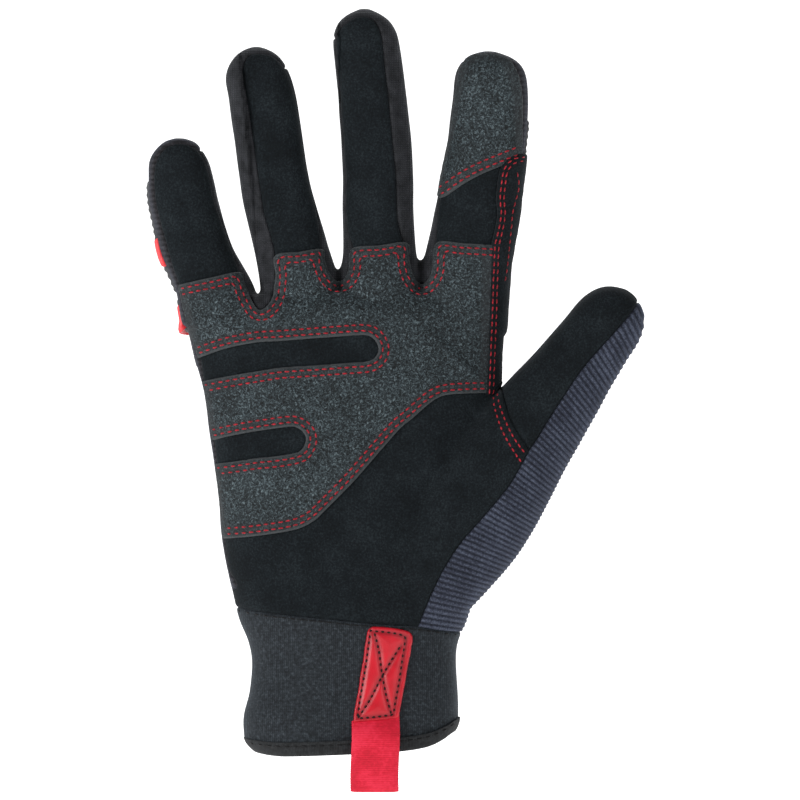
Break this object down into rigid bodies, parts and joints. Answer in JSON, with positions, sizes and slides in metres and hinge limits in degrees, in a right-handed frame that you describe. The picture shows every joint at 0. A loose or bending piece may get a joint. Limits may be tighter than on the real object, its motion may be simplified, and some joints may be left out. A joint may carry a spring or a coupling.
{
  "type": "impact glove",
  "caption": "Right-hand impact work glove with grained palm patches, ribbed knit back, moulded finger and knuckle guards, a waisted stretch cuff and a ribbon pull loop.",
  "frame": {"origin": "middle of the cuff mouth, level with the hem, where a wrist holds the glove", "axes": "+Z from the hem towards the fingertips, palm side faces -Y, thumb points towards +X"},
  "size_m": [0.1708, 0.0544, 0.2656],
  "materials": {
    "suede": "matte synthetic suede",
    "grained": "matte, coarse grained",
    "knit": "matte stretch knit",
    "ribbed": "matte ribbed knit",
    "neoprene": "matte, knit faced",
    "binding": "matte woven tape",
    "tab_leather": "glossy smooth",
    "ribbon": "woven, slight sheen",
    "guard_grey": "satin moulded",
    "guard_red": "satin moulded"
  },
  "bodies": {
    "root": {"palm_panel": "suede", "thumb_panel": "suede", "index_side_patch": "suede", "palm_patch": "grained", "index_tip_patch": "grained", "back_panel": "ribbed", "fourchette_pinky_ring": "knit", "fourchette_ring_middle": "knit", "fourchette_middle_index": "knit", "cuff": "neoprene", "cuff_binding": "binding", "pull_tab_patch": "tab_leather", "pull_loop": "ribbon", "guard_pinky": "guard_grey", "guard_ring": "guard_grey", "guard_middle": "guard_grey", "guard_index": "guard_grey", "knuckle_guard": "guard_grey", "guard_pinky_red": "guard_red", "guard_ring_red": "guard_red", "guard_middle_red": "guard_red", "guard_index_red": "guard_red", "knuckle_red_pinky": "guard_red", "knuckle_red_ring": "guard_red", "knuckle_red_middle": "guard_red", "knuckle_red_index": "guard_red"}
  },
  "joints": []
}
